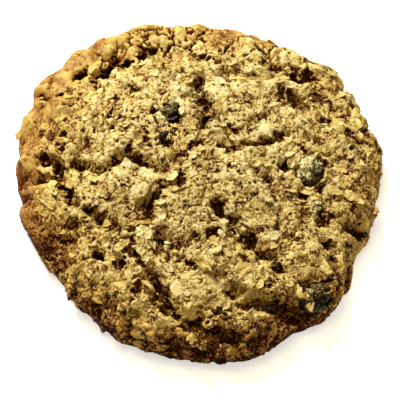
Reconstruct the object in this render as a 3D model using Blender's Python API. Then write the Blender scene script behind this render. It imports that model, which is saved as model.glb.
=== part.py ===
"""Oatmeal raisin cookie: one baked piece of dough with raisins set in its top.

Run with: blender --background --python part.py
Metres, +Z up. The cookie lies on its flat base, and the origin is the middle of that base.
The dough is a ball drawn out onto the cookie's section and outline. Its top is then worked with
mounds, furrows, pits, clods and a grain, its base is cut flat, and each raisin's socket is cut.
"""
import math

import bmesh
import bpy
import numpy as np
from mathutils import Vector, noise

MM = 0.001

# Driving dimensions, in millimetres
WIDTH = 102.5                # along X
DEPTH = 105.5                # along Y
THICKNESS = 16.5             # base to the highest clod
CROWN_HEIGHT = 14.0          # the smooth dome under the clods
BELLY_HEIGHT = 4.2           # where the rim is widest
CROWN_POWER = 2.7            # a higher number gives a flatter top and a rounder shoulder
TUCK = 3.2                   # how far the foot is drawn in under the belly
TRIM_ALLOWANCE = 1.5         # dough below the base, cut away at the end
GAP = 0.3                    # clearance between a raisin and its socket
SECTION_STEPS = 80           # steps over the crown, and again under the belly
BASE_STEPS = 20              # steps across the base
BASE_SHARE = 0.05            # the base comes out flat, so it needs few triangles
LEAST_REACH = 0.01           # keeps the triangles at the top's middle from crowding

# The rim's distance from the middle, every 15 degrees from +X towards +Y
RIM_RADII = (49.8, 51.2, 51.2, 53.4, 50.5, 53.0, 53.5, 55.2, 55.3, 55.2, 54.5, 52.5,
             50.2, 48.7, 48.0, 48.3, 50.2, 52.2, 52.6, 53.3, 51.0, 51.8, 49.2, 48.4)

# Broad swellings of the dough: x, y, radius and height
MOUNDS = (
    (-11, 26, 8, 1.3), (14, 27, 8, 1.6), (2, 33, 5, 0.8), (28, 27, 6, 1.0), (36, 16, 7, 0.8),
    (-27, 12, 8, 1.1), (-38, 19, 6, 0.6), (-17, -6, 7, 1.3), (-3, -7, 6, 1.0), (13, 1, 9, 1.4),
    (3, -32, 8, 1.6), (-18, -37, 7, 1.0), (-29, -30, 6, 0.8), (18, -32, 7, 1.1),
    (27, -24, 8, 1.3), (37, -8, 7, 0.9), (-37, -12, 6, 0.9), (4, 20, 5, 0.8),
)

# Cracks between the clods: half width, depth, and the corners of their course
FURROWS = (
    (2.0, 2.8, ((-28, 31), (-26, 34), (-24, 39), (-22, 44))),
    (2.0, 3.0, ((-1, 29), (0, 25), (2, 18), (1, 14))),
    (1.8, 2.8, ((-44, 5), (-40, 4), (-38, 1))),
    (1.8, 2.4, ((-43, 0), (-39, -1), (-35, -8), (-26, -14))),
    (2.2, 3.4, ((5, -11), (7, -15), (12, -21), (17, -26))),
    (2.0, 3.4, ((-13, -31), (-9, -37), (-7, -42))),
    (1.8, 2.8, ((7, -33), (9, -37))),
    (2.0, 2.6, ((25, 33), (29, 30), (32, 33))),
    (2.2, 2.6, ((24, 23), (29, 21))),
    (1.7, 2.0, ((10, 7), (17, 8), (23, 11))),
    (1.8, 2.6, ((-10, -6), (-14, -12), (-14, -15))),
    (1.8, 2.2, ((-34, 3), (-26, 0), (-19, 4), (-10, 0))),
    (1.7, 2.0, ((-10, 10), (-5, 4), (-5, -5))),
    (2.2, 3.4, ((9, -40), (18, -40), (27, -41))),
    (1.8, 2.8, ((-1, -44), (4, -47), (9, -48))),
    (1.7, 2.2, ((33, -21), (36, -25))),
    (1.7, 2.2, ((40, -16), (44, -17))),
)

# Blown bubbles that stay open: x, y, radius and depth
PITS = (
    (-26, -26, 1.9, 4.0), (-21, -28, 1.6, 3.4), (-10, -21, 2.2, 4.4), (-33, -16, 1.7, 3.8),
    (23, 1, 1.9, 4.0), (28, -8, 1.6, 3.6), (33, -6, 1.6, 3.6), (-6, -23, 1.5, 3.0),
)

# How the worked places run out into the dough around them
WANDER = 1.6                 # how far their edges stray
WANDER_SIZE = 3.5            # over what length they stray
MOUND_SPREAD = 1.6           # reach of the slope, as a share of a mound's radius
FURROW_SPREAD = 1.5          # the same for a furrow's half width
PIT_SPREAD = 1.3             # the same for a pit's radius
PIT_WANDER_SHARE = 0.5       # a bubble's edge strays less than a crack's
UPWARD_LEAN = 0.6            # the worked places fade where the surface leans past this
FOOT_EASE = 2.0              # the texture fades over this height above the trimmed foot

# Dough texture that goes all round: size of the clods, knobs and grain, and their height
CLOD_SIZE = 10.0
CLOD_HEIGHT = 2.2
KNOB_SIZE = 4.6
KNOB_HEIGHT = 1.0
GRAIN_SIZE = 2.6
GRAIN_HEIGHT = 0.3
RIM_SHARE = 0.55             # the rim set first, so its texture is shallower
LUMP_TOP = 0.5               # how far a lump's top stands over the mean, as a share of its height
LUMP_FALL = 1.6              # how steeply a lump falls off to the crease around it
LUMP_SHAKE = 0.35            # how far the lumps are pushed out of round, as a share of their size
LUMP_SHAKE_RATE = 1.7        # how often that push turns along a lump
SHAKE_PLACES = (Vector((0, 0, 0)), Vector((31.4, 7.9, 0)), Vector((0, 47.2, 12.6)))
TEXTURE_PLACE = Vector((3.7, 1.9, 8.3))     # picks one batch of dough out of the endless pattern

# Raisins: name, middle (x, y, z), half lengths, and the turn about Z in degrees
RAISINS = (
    ("raisin_1", (-7.4, 17.4, 12.9), (4.0, 3.6, 2.6), 20),
    ("raisin_2", (30.2, -0.6, 12.7), (3.8, 4.8, 3.0), -10),
    ("raisin_3", (30.6, -36.4, 8.2), (4.8, 3.7, 3.0), 40),
    ("raisin_4", (-9.6, 10.0, 13.2), (1.9, 1.6, 1.6), 60),
    ("raisin_5", (18.0, -40.0, 8.6), (2.1, 1.8, 1.7), -20),
    ("raisin_6", (31.4, -11.9, 12.3), (2.5, 2.1, 1.8), 15),
)
RAISIN_WRINKLE = 0.64        # depth of the deepest crease
RAISIN_WRINKLE_SIZE = 1.5    # distance between creases

BALL_DIVISIONS = 7
DOUGH_TRIANGLES = 5800
RAISIN_DIVISIONS = 3


def smoothstep(value):
    """Ease from 0 to 1 as the value goes from 0 to 1."""
    value = min(max(value, 0.0), 1.0)
    return value * value * (3.0 - 2.0 * value)


def rim_radius(angle):
    """Outline of the cookie seen from above, as a closed Catmull-Rom curve."""
    count = len(RIM_RADII)
    place = (angle % math.tau) / math.tau * count
    first = int(place)
    t = place - first
    a, b, c, d = (RIM_RADII[(first + step) % count] for step in (-1, 0, 1, 2))
    bend = (2 * a - 5 * b + 4 * c - d) * t * t + (3 * b - a - 3 * c + d) * t ** 3
    return b + 0.5 * ((c - a) * t + bend)


def half_section():
    """Section from the top's middle over the rim to the base's middle.

    Gives the reach (1 is the rim), the height, the normal's two parts, and how much of the
    ball's area each step takes, so that the triangles come out even.
    """
    mean_radius = sum(RIM_RADII) / len(RIM_RADII)
    turns = np.linspace(0.0, math.pi / 2, SECTION_STEPS)
    crown_reach = np.sin(turns) ** (2 / CROWN_POWER)
    crown_height = BELLY_HEIGHT + (CROWN_HEIGHT - BELLY_HEIGHT) * np.cos(turns)
    foot_reach = 1.0 - (1.0 - np.cos(turns)) * TUCK / mean_radius
    foot_height = BELLY_HEIGHT - (BELLY_HEIGHT + TRIM_ALLOWANCE) * np.sin(turns)
    base_reach = np.linspace(foot_reach[-1], 0.0, BASE_STEPS)
    base_height = np.full(BASE_STEPS, foot_height[-1])
    reach = np.concatenate((crown_reach, foot_reach[1:], base_reach[1:]))
    height = np.concatenate((crown_height, foot_height[1:], base_height[1:]))
    run = np.gradient(reach) * mean_radius
    rise = np.gradient(height)
    length = np.hypot(run, rise)
    area = length * np.maximum(reach, LEAST_REACH)
    area[1 - BASE_STEPS:] *= BASE_SHARE
    share = np.concatenate(([0.0], np.cumsum(0.5 * (area[1:] + area[:-1]))))
    return reach, height, -rise / length, run / length, share / share[-1]


def distance_to_course(x, y, course):
    """Distance in plan from a point to a furrow's broken line."""
    nearest = 1e9
    for (x0, y0), (x1, y1) in zip(course, course[1:]):
        dx, dy = x1 - x0, y1 - y0
        along = ((x - x0) * dx + (y - y0) * dy) / (dx * dx + dy * dy)
        along = min(max(along, 0.0), 1.0)
        nearest = min(nearest, math.hypot(x - x0 - along * dx, y - y0 - along * dy))
    return nearest


def worked_top(x, y):
    """Height of the mounds, furrows and pits at a point of the plan."""
    wander = WANDER * noise.noise(Vector((x, y, 0.0)) / WANDER_SIZE)
    height = 0.0
    for mound_x, mound_y, radius, rise in MOUNDS:
        away = math.hypot(x - mound_x, y - mound_y) / radius
        height += rise * (1.0 - smoothstep(away / MOUND_SPREAD))
    for half_width, depth, course in FURROWS:
        away = distance_to_course(x, y, course) + wander
        height -= depth * (1.0 - smoothstep(away / (FURROW_SPREAD * half_width)))
    for pit_x, pit_y, radius, depth in PITS:
        away = math.hypot(x - pit_x, y - pit_y) + PIT_WANDER_SHARE * wander
        height -= depth * (1.0 - smoothstep(away / (PIT_SPREAD * radius)))
    return height


def shake(place):
    """A push in any direction, read from three far-off places of the same noise.

    noise_vector would do this in one call, but it gives other values at every run.
    """
    return Vector([noise.noise(place + offset) for offset in SHAKE_PLACES])


def lumps(point, size):
    """Rounded, uneven domes with creases between them, from about -0.5 to 0.5."""
    place = point / size + TEXTURE_PLACE
    distances, _ = noise.voronoi(place + LUMP_SHAKE * shake(LUMP_SHAKE_RATE * place))
    return LUMP_TOP - LUMP_FALL * distances[0] ** 2


def dough_texture(point):
    """Clods, knobs and grain, about level on the whole."""
    clods = CLOD_HEIGHT * lumps(point, CLOD_SIZE)
    knobs = KNOB_HEIGHT * lumps(point, KNOB_SIZE)
    grain = GRAIN_HEIGHT * noise.noise(point / GRAIN_SIZE + TEXTURE_PLACE)
    return clods + knobs + grain


def dough_point(direction, section):
    """Take a point of the unit ball to the cookie's surface, in millimetres."""
    reach_steps, height_steps, out_steps, up_steps, shares = section
    share = (1.0 - direction.z) / 2
    reach = np.interp(share, shares, reach_steps)
    height = np.interp(share, shares, height_steps)
    outward = np.interp(share, shares, out_steps)
    upward = np.interp(share, shares, up_steps)
    angle = math.atan2(direction.y, direction.x)
    radius = reach * rim_radius(angle)
    smooth = Vector((radius * math.cos(angle), radius * math.sin(angle), height))
    normal = Vector((outward * math.cos(angle), outward * math.sin(angle), upward)).normalized()
    facing_up = smoothstep(upward / UPWARD_LEAN)
    texture = dough_texture(smooth) * (RIM_SHARE + (1.0 - RIM_SHARE) * facing_up)
    rise = worked_top(smooth.x, smooth.y) * facing_up
    rise += texture * smoothstep((height + TRIM_ALLOWANCE) / FOOT_EASE)
    return smooth + normal * rise


def fit_to_size(mesh_data):
    """Bring the dough to its exact width, depth and thickness, with its base at zero."""
    low = [min(v.co[axis] for v in mesh_data.verts) for axis in range(3)]
    high = [max(v.co[axis] for v in mesh_data.verts) for axis in range(3)]
    for vertex in mesh_data.verts:
        for axis, size in enumerate((WIDTH, DEPTH)):
            place = (vertex.co[axis] - low[axis]) / (high[axis] - low[axis])
            vertex.co[axis] = (place - 0.5) * size
        if vertex.co.z > 0.0:
            vertex.co.z *= THICKNESS / high[2]


def cut_base_flat(mesh_data):
    """Slice off what is below the base plane and close the cut with one flat face."""
    everything = mesh_data.verts[:] + mesh_data.edges[:] + mesh_data.faces[:]
    cut = bmesh.ops.bisect_plane(mesh_data, geom=everything, plane_co=(0, 0, 0),
                                 plane_no=(0, 0, -1), clear_outer=True)
    rim = [item for item in cut["geom_cut"] if isinstance(item, bmesh.types.BMEdge)]
    bmesh.ops.edgeloop_fill(mesh_data, edges=rim)
    bmesh.ops.recalc_face_normals(mesh_data, faces=mesh_data.faces[:])


def make_material(name, colour, roughness):
    """A Principled material with one colour and roughness."""
    material = bpy.data.materials.new(name)
    material.use_nodes = True
    shader = material.node_tree.nodes["Principled BSDF"]
    shader.inputs["Base Color"].default_value = (*colour, 1.0)
    shader.inputs["Roughness"].default_value = roughness
    shader.inputs["Metallic"].default_value = 0.0
    return material


def make_collection(name):
    """A collection linked to the scene."""
    collection = bpy.data.collections.new(name)
    bpy.context.scene.collection.children.link(collection)
    return collection


def add_object(name, mesh_data, collection, material=None):
    """Turn a bmesh in millimetres into a smooth-shaded object in metres."""
    bmesh.ops.scale(mesh_data, vec=(MM, MM, MM), verts=mesh_data.verts[:])
    mesh = bpy.data.meshes.new(name)
    mesh_data.to_mesh(mesh)
    mesh_data.free()
    mesh.shade_smooth()
    if material:
        mesh.materials.append(material)
    thing = bpy.data.objects.new(name, mesh)
    collection.objects.link(thing)
    return thing


def decimated(thing, triangles):
    """Thin an object's mesh to about the given count, keeping its detail."""
    thin = thing.modifiers.new("thin", "DECIMATE")
    thin.ratio = triangles / len(thing.data.polygons)
    depsgraph = bpy.context.evaluated_depsgraph_get()
    mesh = bpy.data.meshes.new_from_object(thing.evaluated_get(depsgraph))
    thing.modifiers.remove(thin)
    return mesh


def make_dough(collection, material):
    """The cookie itself: a ball drawn onto the section, worked, thinned and cut flat."""
    section = half_section()
    ball = bmesh.new()
    bmesh.ops.create_icosphere(ball, subdivisions=BALL_DIVISIONS, radius=1.0)
    for vertex in ball.verts:
        vertex.co = dough_point(vertex.co.normalized(), section)
    fit_to_size(ball)
    dough = add_object("cookie", ball, collection, material)
    dough.data = decimated(dough, DOUGH_TRIANGLES)
    shape = bmesh.new()
    shape.from_mesh(dough.data)
    cut_base_flat(shape)
    shape.to_mesh(dough.data)
    shape.free()
    return dough


def raisin_shape(middle, half_lengths, turn, swell=0.0):
    """A wrinkled raisin, swollen all round by the given clearance."""
    shape = bmesh.new()
    bmesh.ops.create_icosphere(shape, subdivisions=RAISIN_DIVISIONS, radius=1.0)
    centre = Vector(middle)
    spin = math.radians(turn)
    for vertex in shape.verts:
        direction = vertex.co.normalized()
        body = Vector([part * half for part, half in zip(direction, half_lengths)])
        crease = abs(noise.noise((body + centre) / RAISIN_WRINKLE_SIZE))
        body += direction * (swell - RAISIN_WRINKLE * crease)
        x = body.x * math.cos(spin) - body.y * math.sin(spin)
        y = body.x * math.sin(spin) + body.y * math.cos(spin)
        vertex.co = centre + Vector((x, y, body.z))
    return shape


def set_raisin(dough, raisin, parts, cutters, material):
    """Make one raisin and cut the socket that it sits in."""
    name, middle, half_lengths, turn = raisin
    add_object(name, raisin_shape(middle, half_lengths, turn), parts, material)
    socket = add_object(name + "_socket", raisin_shape(middle, half_lengths, turn, GAP), cutters)
    socket.hide_render = True
    socket.display_type = "WIRE"
    cut = dough.modifiers.new(name + "_socket", "BOOLEAN")
    cut.operation = "DIFFERENCE"
    cut.object = socket


def main():
    """Build the cookie from an empty scene."""
    for thing in list(bpy.data.objects):
        bpy.data.objects.remove(thing)
    parts = make_collection("oatmeal_raisin_cookie")
    cutters = make_collection("cutters")
    dough_finish = make_material("baked_oat_dough", (0.42, 0.27, 0.09), 0.75)
    raisin_finish = make_material("dried_raisin_skin", (0.03, 0.02, 0.02), 0.45)
    dough = make_dough(parts, dough_finish)
    for raisin in RAISINS:
        set_raisin(dough, raisin, parts, cutters, raisin_finish)


main()
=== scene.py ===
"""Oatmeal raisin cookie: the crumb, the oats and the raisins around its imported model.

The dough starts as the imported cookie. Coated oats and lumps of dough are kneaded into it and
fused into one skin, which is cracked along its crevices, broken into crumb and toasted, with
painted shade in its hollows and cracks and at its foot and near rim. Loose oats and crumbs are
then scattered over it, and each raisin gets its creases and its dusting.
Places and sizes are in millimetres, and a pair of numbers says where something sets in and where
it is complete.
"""
import math
import random

import bmesh
import bpy
import numpy as np
from mathutils import Matrix, Vector, noise


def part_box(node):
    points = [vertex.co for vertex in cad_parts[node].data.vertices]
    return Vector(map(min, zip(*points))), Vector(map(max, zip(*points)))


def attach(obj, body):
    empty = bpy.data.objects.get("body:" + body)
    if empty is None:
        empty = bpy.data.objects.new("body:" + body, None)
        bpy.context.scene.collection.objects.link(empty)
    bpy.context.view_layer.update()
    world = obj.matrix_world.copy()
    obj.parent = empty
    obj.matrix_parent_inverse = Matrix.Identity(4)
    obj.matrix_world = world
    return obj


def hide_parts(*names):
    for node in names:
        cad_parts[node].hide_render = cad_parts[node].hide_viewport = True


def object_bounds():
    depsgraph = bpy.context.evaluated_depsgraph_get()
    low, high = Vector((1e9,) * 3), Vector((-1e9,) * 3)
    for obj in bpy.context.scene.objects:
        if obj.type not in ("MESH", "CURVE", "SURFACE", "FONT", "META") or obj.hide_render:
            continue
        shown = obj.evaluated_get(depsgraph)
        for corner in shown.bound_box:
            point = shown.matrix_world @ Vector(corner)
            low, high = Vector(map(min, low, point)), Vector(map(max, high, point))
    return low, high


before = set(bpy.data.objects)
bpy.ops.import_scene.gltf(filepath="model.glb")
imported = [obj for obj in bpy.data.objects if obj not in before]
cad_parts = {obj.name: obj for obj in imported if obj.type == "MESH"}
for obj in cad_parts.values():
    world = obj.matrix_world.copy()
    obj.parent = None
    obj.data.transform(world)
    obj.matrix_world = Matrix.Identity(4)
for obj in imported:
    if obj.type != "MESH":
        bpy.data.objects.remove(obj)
cad_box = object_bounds()

MM = 0.001
BODY = "root"
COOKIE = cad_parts["cookie"]
RAISINS = sorted(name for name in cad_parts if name.startswith("raisin"))
MODEL_TOP = cad_box[1][2] / MM

# Skin of the dough
WELD = 0.002  # corners nearer than this are one
FUSE_VOXEL = 0.36  # joins the kneaded lumps
SKIN_VOXEL = 0.27  # carries the crumb
SKIN_TRIANGLES = 190000
HEADROOM = 0.8  # height under the model's top where the clods begin to level off
HEADROOM_SOFT = 0.9  # how gently they do
CRUMB_ROOM = 0.3  # most that anything loose rises over the model's top
OAT_ROOM = (1.2, 2.2)  # room under the model's top that a loose oat needs
OAT_GROUND = (0.4, 0.8)  # how level the dough has to be for it
LOOSE_GROUND = (0.1, 0.6)  # and for crumbs

# Bands of the cookie: distance from its middle, or how far along x, along y or upwards
CRUST_SIDE = (10.0, 30.0)  # y minus x where the smoother crust of the far left begins
CRUST_BAND = (38.0, 50.0)
LOBE_X = (-34.0, -20.0)  # the lobes along the far rim
LOBE_Y = (8.0, 20.0)
LOBE_BAND = (37.0, 41.0)
FAR_SWELL_Y = (15.0, 45.0)
FAR_SWELL_BAND = (42.0, 50.0)
FAR_LEFT_REACH = 60.0  # y minus x at the very far left
NEAR_Y = (10.0, -35.0)
FOOT_BAND = (1.0, 13.0)  # height of the darker foot, partly browning and partly painted shade
LOW_BAND = (0.0, 14.0)  # height of the browner side, partly browning and partly painted shade on the near side
OUTER_BAND = (20.0, 40.0)
RIM_BAND = (36.0, 50.0)
FAR_X = (-35.0, -10.0)  # where the far crust is less brown
FAR_Y = (18.0, 43.0)

# Kneading
KNEAD_HEIGHT = (2.6, 4.1)  # lumps lie above this, where the skin looks up or sideways
KNEAD_FACING = (-0.6, -0.2)
CRUST_KNEAD = 0.15  # share of the lumps that lie in the smooth crust
FLAKE_LIFT = 0.05  # height of a standing-out flake's middle over the clods
BARE_FLAKE_LIFT = 0.5  # the same once the skin is made
COATED_FLAKE = 0.95  # its thickness with its coat of dough
BARE_FLAKE = 0.4  # and without it
BARE_FLAKE_SIZE = 0.9  # the bare flake beside its coated bed
SWELL_HEIGHT = (0.0, 3.0)  # height over the base from which the dough can swell

# Cracks
CRACK_SHARE = 0.85  # depth of the cracks beside their listed depth
CRACK_BREAK = (0.51, 0.67)  # where crumb bridges a crack
BRIDGED = 0.35  # share of its depth that a bridged crack keeps
CRACK_SHAKE = (5.5, 4.5)  # how far a crack wanders off its course, broadly and finely
BUBBLE_SHAKE = (4.0, 7.0)
CRACK_CORE = 1.4  # reach of a crack's core and shoulder, in half widths
CRACK_SHOULDER = 3.0
CORE_DEPTH = 0.75  # share of the depth that the core makes up
CORE_DARK = 0.6  # and of the crack's painted shade
BUBBLE_CORE = 1.15
CRACK_FACING = (-0.25, 0.25)  # only skin that looks up cracks

# Relief of the skin
STEP = 0.34  # most that one lump stands over its neighbour
LEAN = 0.60  # most that a lump's top slopes from side to side
WALL_LUMPS = 0.8  # how much more the lumps stand out on the side wall
WALL_KNOBS = 0.7  # share of the knobs there
WALL_FACING = (0.1, 0.7)  # how far up the skin looks, from the wall to the top
LUMP_LIMIT = 0.7  # most that a lump stands out in all
FAR_SWELL = 1.0  # how far the far rim swells
FAR_LOBE = 0.8  # how far the lobes along the far rim stand over their edges
LOBE_GAP = 1.2  # depth of the gaps between them
LOBE_GAP_WIDTH = 0.10  # half width of a gap, as a share of a lobe
LOBE_OPEN = (0.40, 0.52)  # where a gap has opened
LOBE_CALM = 0.3  # how much lower the lumps are on the lobes
LOBE_CHIP_CALM = 0.1
LOBE_GRAIN_CALM = 0.2
LOBE_LOOSE_CALM = 0.6  # how much less lies loose on them
KNOB_DOME = 0.5  # how far the big lumps in the crust band stand over their edges
LUMP_DOME = 0.28  # how far a lump's middle stands over its edge
CHIP_DOME = 0.14  # the same for the chips that make up a lump
GRAIN_DOME = 0.11  # and for the grains that make up a chip
DOME_REACH = 0.62  # where a dome's edge lies, as a share of its cell
DOME_LIMIT = 1.3  # past this many reaches the cell falls no further
DOME_MEAN = 0.5  # mean fall over a dome, beside its rise
CHIP = 0.20  # most that one chip stands over its neighbour
CHIP_LEAN = 0.52
DIP = 0.35  # ragged hollows where crumb has broken away
DIP_OPEN = (0.64, 0.69)
PIT = 0.8  # depth of the scattered pinholes
PIT_EDGE = (0.12, 0.26)  # from its floor to its brim, as a share of its cell
PIT_SHARE = 0.65  # higher leaves fewer of them
CREVICE = 1.4  # depth of the crevices between mounds
CREVICE_WIDTH = 0.09  # half width of a crevice, as a share of a mound
CREVICE_OPEN = (0.57, 0.67)  # where the dough has parted
CREVICE_FACING = (0.0, 0.4)
CREVICE_DARK = 0.8  # how much painted shade darkens them beside a crack
# the same painted shade in the gaps between the far lobes
LOBE_GAP_DARK = 0.9
OAT_REACH = 0.5  # how far an embedded oat calms the crumb around it
OAT_CALM = 0.75  # and how much
CRUST_LUMPS = 0.25  # share of the relief that the smooth crust keeps
CRUST_CHIPS = 0.2
CRUST_GRAINS = 0.3
FOOT_FLAT = (0.0, 1.5)  # height over which the relief fades to the flat base

# Patterns that the skin's relief and colour follow: kind of texture, its feature, the size of
# its cells or waves, and how far a point is first shaken
PATTERNS = {
    "drift": ("NOISE", None, 3.2, 0.0),
    "jag": ("NOISE", None, 1.1, 0.0),
    "bridge": ("NOISE", None, 2.6, 0.0),
    "knob_dome": ("VORONOI", "F1", 6.6, 1.6),
    "lobe_dome": ("VORONOI", "F1", 7.4, 1.4),
    "lobe_gap": ("VORONOI", "DISTANCE_TO_EDGE", 7.4, 1.4),
    "lump_step": ("VORONOI", "F1", 3.4, 1.3),
    "lump_dome": ("VORONOI", "F1", 3.4, 1.3),
    "lump_lean": ("VORONOI", "F1", 3.4, 1.3),
    "chip_dome": ("VORONOI", "F1", 1.5, 0.5),
    "chip_step": ("VORONOI", "F1", 1.5, 0.5),
    "chip_lean": ("VORONOI", "F1", 1.5, 0.5),
    "dip": ("NOISE", None, 1.9, 0.0),
    "grain_dome": ("VORONOI", "F1", 0.8, 0.2),
    "pit": ("VORONOI", "F1", 2.3, 0.6),
    "pit_step": ("VORONOI", "F1", 2.3, 0.6),
    "patch": ("NOISE", None, 11.0, 0.0),
    "crevice": ("VORONOI", "DISTANCE_TO_EDGE", 7.5, 2.6),
    "parting": ("NOISE", None, 4.5, 0.0),
}
CRACK_PATTERNS = ("drift", "jag", "bridge")
RELIEF_PATTERNS = [label for label in PATTERNS if label not in CRACK_PATTERNS]

# What makes up the tone of the dough, from 0 in a crack to about 1 on a pale ridge, how brown it
# is, and how grainy it looks. The tone's hollow and crack weights are painted shade; its foot and
# rim weights are partly the oven's browning and partly painted shade, darker at the near foot and
# on the near and left rim. The brown's crack and low weights are partly browning and partly painted
# shade. Each weight goes with a field that is worked out along with the tone.
TONE = {"all": 0.74, "hollow": -1.3, "crack": -0.42, "patch": 0.4, "oat": 0.16, "rim": -0.24,
        "painted_shade_rim_x": 0.18, "painted_shade_rim_y": 0.08, "foot": -0.66}
BROWN = {"all": 0.05, "outer": 0.45, "rim": 0.1, "side": 0.35, "low": 0.9, "patch": -0.6,
         "far": -0.35, "crack": 0.4}
GRAIN = {"all": 0.4, "crumb": 0.5, "right": 0.25, "far_left": -0.4}
TONE_LIMIT = 1.2
HOLLOWS = {"fine": (6, 1.5), "middle": (40, 0.3), "broad": (200, 0.14)}  # smoothings, and weight of the painted shade in the hollows
CRUST_HOLLOW = 0.6  # share of the hollows' shade that the smooth crust keeps
FAR_FOOT = 0.35  # share of the foot's shade away from the near side
GRAIN_BY_HOLLOW = 1.8  # how much grainier a hollow is
GRAIN_RANGE = (0.65, 1.5)
FOOT_GRAIN = 0.5  # how much less grainy the foot is
SIDE_FACING = (-0.1, 0.8)  # from the side to the top
PATCH_SPREAD = 1.3  # how far a patch of the oven's reaches, in its radii

# Shapes to scatter: length, width and thickness of each. The kneaded ones have a name and the
# first shape's seed before them.
KNEADED = (
    ("dough_lump", 0, ((7.0, 5.4, 1.9), (5.6, 4.4, 1.8), (4.4, 3.2, 1.7), (3.4, 2.4, 1.6))),
    ("coated_oat", 9, ((6.4, 4.6, 1.1), (5.6, 4.2, 1.2), (4.8, 3.6, 1.1), (3.6, 3.0, 1.0))),
    ("dough_chip", 20, ((3.0, 2.2, 1.2), (2.2, 1.8, 1.0), (1.7, 1.2, 0.9))),
)
LUMP_SWELL = 0.35  # how uneven a lump is, as a share of its size
LUMP_WAVES = 3.5  # waves of unevenness along it
LUMP_BEND = 0.1  # rise of its ends
LUMP_FLATNESS = 0.7  # 1 is an oval, and less is flatter on top
OAT_CURL = (-0.5, 0.9)  # rise of an oat's ends, in sixths of its length
OAT_TAPER = 0.5  # how much thinner its edge is
OAT_GROOVE = 0.2  # depth of its groove
OAT_GROOVE_WIDTH = 0.5
OAT_WAVES = ((0.4, 1.8), (0.2, 0.7))  # height and length of the waves in it
CRUMB_WAVES = 1.3  # waves of unevenness in a crumb
CRUMB_PUSH = 0.6  # and how far they push its skin
OAT_OUTLINE = (11, 0.3)  # corners around an oat, and how ragged they are
BIT_OUTLINE = (7, 0.4)
STANDING_OUTLINE = (22, 0.4, 4)  # the same for one that stands out, and its rings
STANDING_SEED = 30  # of the first one
OVERHEAD = 40.0  # a height over everything
FLAKE_LEVEL = 2  # how much more a flake lies level than its ground
SHAKE_WAVE = 1.4  # size of the waves that shake a pattern, beside the shake
SHAKE_PUSH = 3  # and how far they push
LOOSE_OATS = [(5.0 + 0.3 * n, 3.2 + 0.2 * n, 0.6) for n in range(6)]
OAT_BITS = [(2.2 + 0.4 * n, 1.5 + 0.3 * n, 0.45) for n in range(6)]

# How each kind lies: seed, pieces per square metre, smallest and largest share of its size, tilt
# in radians, how deep it is sunk, and how much its tone varies. Crumb, grit and dust shapes are a
# metre in radius.
LAYING = {
    "clods": (5, 9000.0, 0.7, 1.2, 0.25, 0.7, 0.0),
    "flat_oats": (8, 10000.0, 0.7, 1.0, 0.35, 0.3, 0.0),
    "lap": (20, 400000.0, 0.5, 1.0, 0.5, 0.1, 0.0),
    "oat_flakes": (3, 9000.0, 0.45, 0.9, 0.35, 0.15, 0.15),
    "broken_oats": (4, 170000.0, 0.5, 1.0, 0.5, 0.05, 0.18),
    "crumbs": (6, 420000.0, 0.12 * MM, 0.28 * MM, 3.0, 0.05, 0.3),
    "sugar_grit": (7, 4000000.0, 0.10 * MM, 0.24 * MM, 3.0, 0.02, 0.4),
    "dust": (0, 7000000.0, 0.09 * MM, 0.26 * MM, 3.0, 0.0, 0.3),
}
LAYING_INPUTS = ("Seed", "Per Square Metre", "Smallest", "Largest", "Tilt", "Sink", "Tone Spread")
CRUST_LOOSE = 0.25  # share of what lies loose that lies on the smooth crust
FAR_LEFT_LOOSE = 0.45  # how much less lies loose at the far left

# Each raisin: share of its reach that the dough leaves bare, share beyond which chips of dough
# lie on its edge, how much sugar dulls its top, and how thickly crumbs cling to its far left
RAISIN_DRESS = {
    "raisin_1": {"bare": 0.6, "lap_from": 0.6, "bloom": 0.4, "dusting": 0.35},
    "raisin_2": {"bare": 0.8, "lap_from": 0.8, "bloom": 2.2, "dusting": 0.5},
    "raisin_3": {"bare": 0.65, "lap_from": 0.4, "bloom": 0.45, "dusting": 0.4},
    "raisin_4": {"bare": 0.6, "lap_from": 0.6, "bloom": 0.2, "dusting": 0.1},
    "raisin_5": {"bare": 0.55, "lap_from": 0.5, "bloom": 0.3, "dusting": 0.3},
    "raisin_6": {"bare": 0.55, "lap_from": 0.4, "bloom": 1.8, "dusting": 0.9},
}
LAP_LEFT = 0.4  # how much a raisin's middle counts as its far left
RAISIN_LAP = 0.35  # over what share more the dough laps onto a raisin
LAP_SOFT = 0.3  # over what share more the chips set in
LAP_ALL = 0.35  # chips all round
LAP_FAR_LEFT = 0.9  # chips more on its far left
LAP_HEIGHT = (-0.2, 0.1)  # none lie lower than this, in half heights
FOLD_SIZE = 2.6  # distance between a raisin's deep folds
FOLD_DEPTH = 1.1
FOLD_EDGE = 0.35  # how wide a fold is, as a share of its wave
CREASE_SIZE = 0.9  # the same for the fine creases between them
CREASE_DEPTH = 0.3
CREASE_EDGE = 0.3
FOLD_BEND = 2.4  # size of the waves that bend the folds
FOLD_STRETCH = (1.8, 1.0, 1.2)  # how much longer they run along a raisin that lies along x
FOLD_STRETCH_Y = (1.0, 1.8, 1.2)  # and along y
RAISIN_UP = (-0.75, 1.75)  # height over a raisin's middle where sugar and crumb cling
RAISIN_ACROSS = 8.0  # from its near right to its far left
PLUMP = 0.3  # how far the skin swells between the folds
SUGAR_ALL = 0.2  # sugar all over a raisin's top, beside that on its far left
SUGAR_IN_FOLD = 0.4  # share of it in a fold
SUGAR_RIDGE = 0.3  # distance from a fold, as a share of its wave, where all of it lies
SUGAR_LEAST = 0.05
SUGAR_PATCH = 0.25  # how uneven the sugar is, and over what size
SUGAR_PATCH_SIZE = 1.6
CLING_TONE = 0.35  # tone of the crumbs that cling, up to twice as much on the far left
CLING_BROWN = 0.3
CLING_FAR_LEFT = 2.2  # how fast they grow more towards the far left
CLING_BARE = 0.4  # how much of it stays bare
CLING_LEAST = 0.05
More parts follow.
